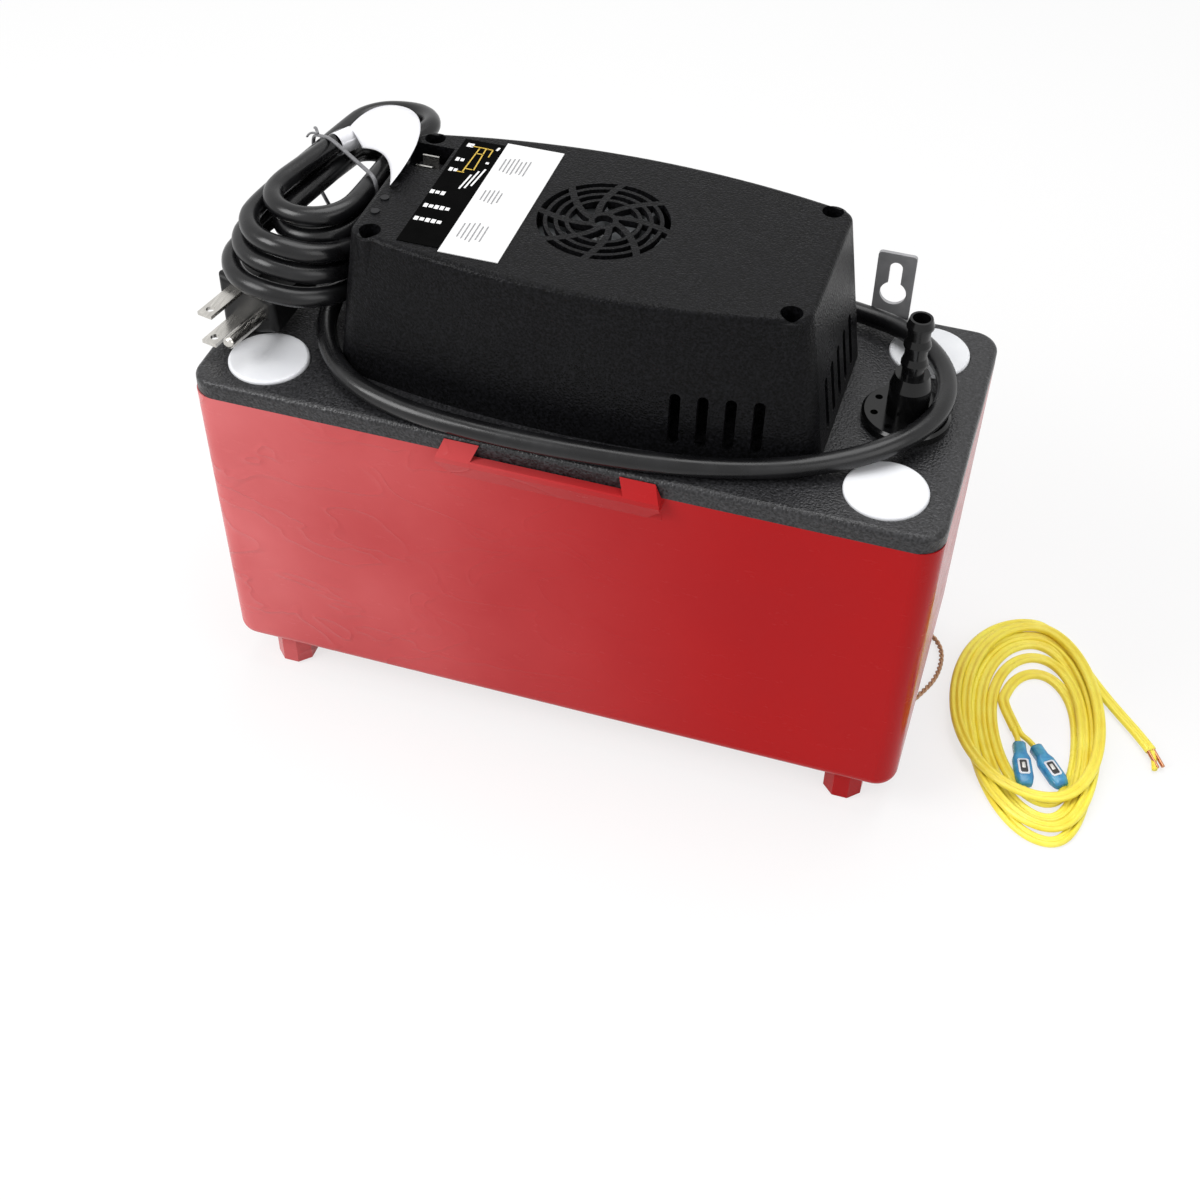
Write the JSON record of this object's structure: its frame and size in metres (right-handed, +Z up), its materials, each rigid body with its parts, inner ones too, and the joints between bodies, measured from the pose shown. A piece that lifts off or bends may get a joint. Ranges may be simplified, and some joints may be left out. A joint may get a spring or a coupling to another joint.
{
  "type": "condensate pump",
  "caption": "Boxy condensate pump: an open red tank under a lift-off black deck with motor, float switch, check valve, hanging brackets, mains cord and a coiled safety-switch lead.",
  "frame": {"origin": "on the floor plane under the middle of the tank", "axes": "+X along the tank towards the check valve, -Y is the front with the finger lip, +Z up"},
  "size_m": [0.385, 0.1399, 0.2135],
  "materials": {
    "red_plastic": "moulded ABS, glossy",
    "black_plastic": "moulded ABS, fine texture",
    "gloss_black_plastic": "moulded, glossy",
    "white_plastic": "moulded, satin",
    "grey_plastic": "moulded, satin",
    "painted_steel": "dark painted sheet",
    "zinc_steel": "zinc plated",
    "core_steel": "laminated steel",
    "winding_copper": "enamelled wire",
    "cast_alloy": "die cast",
    "bearing_bronze": "sintered",
    "shaft_steel": "ground",
    "ball_rubber": "moulded",
    "lens": "diffused lens",
    "board": "glass-fibre board",
    "terminal_metal": "tin plated",
    "label_black": "printed film",
    "label_white": "printed film",
    "cord_rubber": "PVC jacket, semi-gloss",
    "tie_grey": "coated wire tie",
    "tag_white": "bare film",
    "blade_metal": "nickel plated",
    "lead_yellow": "PVC jacket",
    "connector_blue": "nylon",
    "bare_copper": "stranded"
  },
  "bodies": {
    "base": {"tank": "red_plastic", "wall_brackets": "painted_steel", "bracket_screws": "zinc_steel", "safety_lead_coil": "lead_yellow", "safety_lead_tail": "lead_yellow", "safety_lead_fork": "lead_yellow", "spade_connectors": "connector_blue", "stripped_ends": "bare_copper"},
    "deck": {"lid": "black_plastic", "inlet_plugs": "white_plastic", "motor_cover": "black_plastic", "cover_screws": "zinc_steel", "status_lights": "lens", "circuit_board": "board", "control_label": "label_black", "rating_label": "label_white", "terminal_block": "board", "alarm_terminals": "terminal_metal", "stator_stack": "core_steel", "stator_windings": "winding_copper", "lower_bearing_bracket": "cast_alloy", "upper_bearing_bracket": "cast_alloy", "bearings": "bearing_bronze", "motor_bolts": "zinc_steel", "volute": "black_plastic", "strainer": "black_plastic", "pump_column": "black_plastic", "discharge_pipe": "grey_plastic", "check_valve": "gloss_black_plastic", "switch_bracket": "zinc_steel", "lever_pin": "shaft_steel", "float_switches": "black_plastic", "cord_gland": "cord_rubber", "power_cord": "cord_rubber", "power_cord_tail": "cord_rubber", "power_cord_hank": "cord_rubber", "cord_tie": "tie_grey", "cord_tag": "tag_white", "plug_body": "cord_rubber", "plug_blades": "blade_metal", "plug_ground_pin": "blade_metal"},
    "spindle": {"motor_shaft": "shaft_steel", "rotor": "cast_alloy", "cooling_fan": "grey_plastic", "impeller": "grey_plastic"},
    "float": {"pump_float": "white_plastic", "float_rod": "shaft_steel"},
    "lever": {"switch_lever": "grey_plastic"},
    "buttons": {"switch_plungers": "red_plastic"},
    "ball": {"valve_ball": "ball_rubber"}
  },
  "joints": [
    {"name": "deck_lift", "type": "slide", "parent": "base", "child": "deck", "axis": [0, 0, 1], "range_m": [0, 0.135]},
    {"name": "motor_spin", "type": "hinge", "parent": "deck", "child": "spindle", "pos_m": [0, 0, 0.17], "axis": [0, 0, 1], "continuous": true},
    {"name": "float_rise", "type": "slide", "parent": "deck", "child": "float", "axis": [0, 0, 1], "range_m": [0, 0.008]},
    {"name": "lever_swing", "type": "hinge", "parent": "deck", "child": "lever", "pos_m": [-0.046, 0, 0.17], "axis": [0, 1, 0], "range_deg": [0, 22]},
    {"name": "button_press", "type": "slide", "parent": "deck", "child": "buttons", "axis": [0, 0, 1], "range_m": [0, 0.0022]},
    {"name": "ball_lift", "type": "slide", "parent": "deck", "child": "ball", "axis": [0, 0, 1], "range_m": [0, 0.004]}
  ],
  "couplings": [
    {"joint": "lever_swing", "follows": "float_rise", "rad_per_m": 47.12},
    {"joint": "button_press", "follows": "float_rise", "ratio": 0.27}
  ]
}
